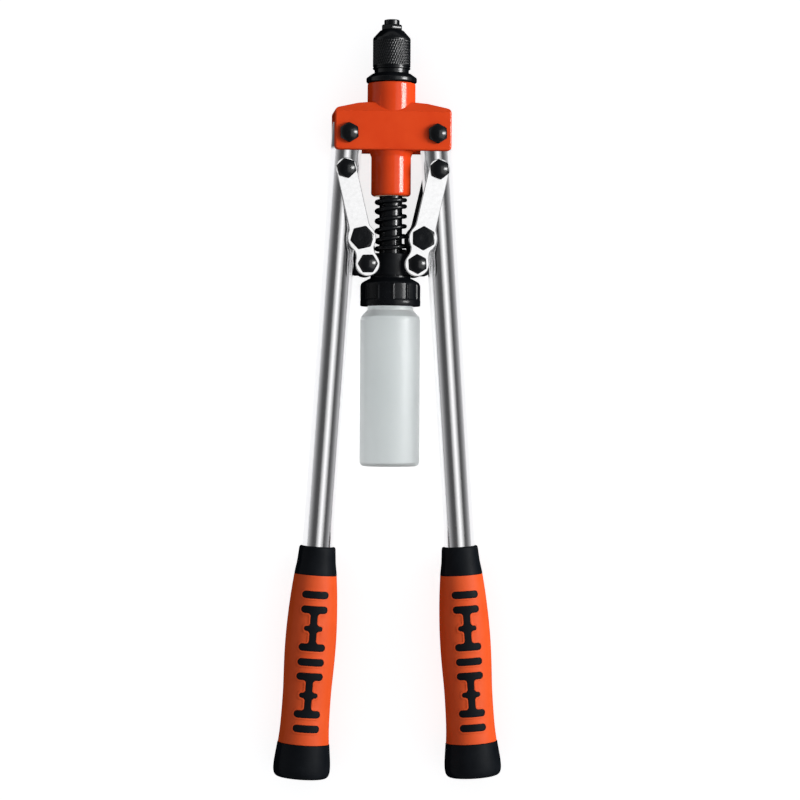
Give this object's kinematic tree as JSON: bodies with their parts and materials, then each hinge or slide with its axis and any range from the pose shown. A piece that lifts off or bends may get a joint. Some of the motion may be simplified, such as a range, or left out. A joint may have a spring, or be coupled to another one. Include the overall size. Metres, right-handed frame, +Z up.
{
  "type": "lever hand riveter",
  "caption": "Two-handled lever riveter with linked handles, sliding jaw carrier, return spring and a screw-on bottle for spent mandrels.",
  "frame": {"origin": "under the middle of the tool's length and width, on the surface that it lies on", "axes": "+Y from the grip ends to the nose, +X to the right seen from above with the nose away, +Z up through the tool's front"},
  "size_m": [0.1298, 0.4302, 0.0383],
  "materials": {
    "orange_paint": "gloss paint on a casting",
    "orange_grip": "matt moulded grip",
    "black_oxide": "black oxide, oiled",
    "black_plastic": "satin",
    "black_rubber": "matt",
    "chrome_tube": "polished",
    "plated_steel": "bright plated",
    "bright_steel": "bright",
    "bronze": "plain bearing bronze",
    "clear_plastic": "milky translucent",
    "seal_rubber": "matt"
  },
  "bodies": {
    "head": {"head_casting": "orange_paint", "nose_flange": "black_oxide", "nose_housing": "black_oxide", "nosepiece": "black_oxide", "guide_bush": "bronze", "return_spring": "black_oxide", "left_pivot_bolt": "black_oxide", "left_pivot_nut": "black_oxide", "right_pivot_bolt": "black_oxide", "right_pivot_nut": "black_oxide"},
    "crosshead": {"crosshead": "black_oxide", "pull_rod": "black_oxide", "jaw_case": "bright_steel", "jaw_spring": "bright_steel", "bottle_cap": "black_plastic"},
    "jaws": {"jaw_1": "bright_steel", "jaw_2": "bright_steel", "jaw_3": "bright_steel", "jaw_pusher": "bright_steel"},
    "seal": {"bottle_seal": "seal_rubber"},
    "bottle": {"bottle": "clear_plastic"},
    "left_handle": {"left_tube": "chrome_tube", "left_insert": "black_plastic", "left_grip_core": "black_rubber", "left_grip_sleeve": "orange_grip", "left_link_bolt": "black_oxide", "left_link_nut": "black_oxide"},
    "left_link": {"left_link_front": "plated_steel", "left_link_rear": "black_oxide", "left_tie_bolt": "black_oxide", "left_tie_nut": "black_oxide", "left_cross_bolt": "black_oxide", "left_cross_nut": "black_oxide"},
    "right_handle": {"right_tube": "chrome_tube", "right_insert": "black_plastic", "right_grip_core": "black_rubber", "right_grip_sleeve": "orange_grip", "right_link_bolt": "black_oxide", "right_link_nut": "black_oxide"},
    "right_link": {"right_link_front": "plated_steel", "right_link_rear": "black_oxide", "right_tie_bolt": "black_oxide", "right_tie_nut": "black_oxide", "right_cross_bolt": "black_oxide", "right_cross_nut": "black_oxide"}
  },
  "joints": [
    {"name": "left_handle_pivot", "type": "hinge", "parent": "head", "child": "left_handle", "pos_m": [-0.025, 0.14956, 0.02], "axis": [0, 0, -1], "range_deg": [0, 55]},
    {"name": "right_handle_pivot", "type": "hinge", "parent": "head", "child": "right_handle", "pos_m": [0.025, 0.14956, 0.02], "axis": [0, 0, 1], "range_deg": [0, 55]},
    {"name": "left_link_pivot", "type": "hinge", "parent": "left_handle", "child": "left_link", "pos_m": [-0.02633, 0.1296, 0.02], "axis": [0, 0, 1], "range_deg": [0, 74]},
    {"name": "right_link_pivot", "type": "hinge", "parent": "right_handle", "child": "right_link", "pos_m": [0.02633, 0.1296, 0.02], "axis": [0, 0, -1], "range_deg": [0, 74]},
    {"name": "crosshead_slide", "type": "slide", "parent": "head", "child": "crosshead", "axis": [0, 1, 0], "range_m": [0, 0.0145], "stiffness_N_per_m": 250, "springref_m": -0.02, "deforming": ["return_spring"]},
    {"name": "jaw_slide", "type": "slide", "parent": "crosshead", "child": "jaws", "axis": [0, -1, 0], "range_m": [0, 0.0024], "stiffness_N_per_m": 400, "springref_m": -0.003, "deforming": ["jaw_spring"]},
    {"name": "bottle_lift", "type": "slide", "parent": "crosshead", "child": "seal", "axis": [0, -1, 0], "range_m": [0, 0.018]},
    {"name": "bottle_turn", "type": "hinge", "parent": "seal", "child": "bottle", "pos_m": [0, 0.05494, 0.02], "axis": [0, -1, 0], "range_deg": [0, 2170]}
  ],
  "couplings": [
    {"joint": "right_handle_pivot", "follows": "left_handle_pivot", "ratio": 1},
    {"joint": "left_link_pivot", "follows": "left_handle_pivot", "ratio": 1.338},
    {"joint": "right_link_pivot", "follows": "left_handle_pivot", "ratio": 1.338},
    {"joint": "crosshead_slide", "follows": "left_handle_pivot", "m_per_rad": 0.0151},
    {"joint": "bottle_turn", "follows": "bottle_lift", "rad_per_m": 2094.4}
  ]
}
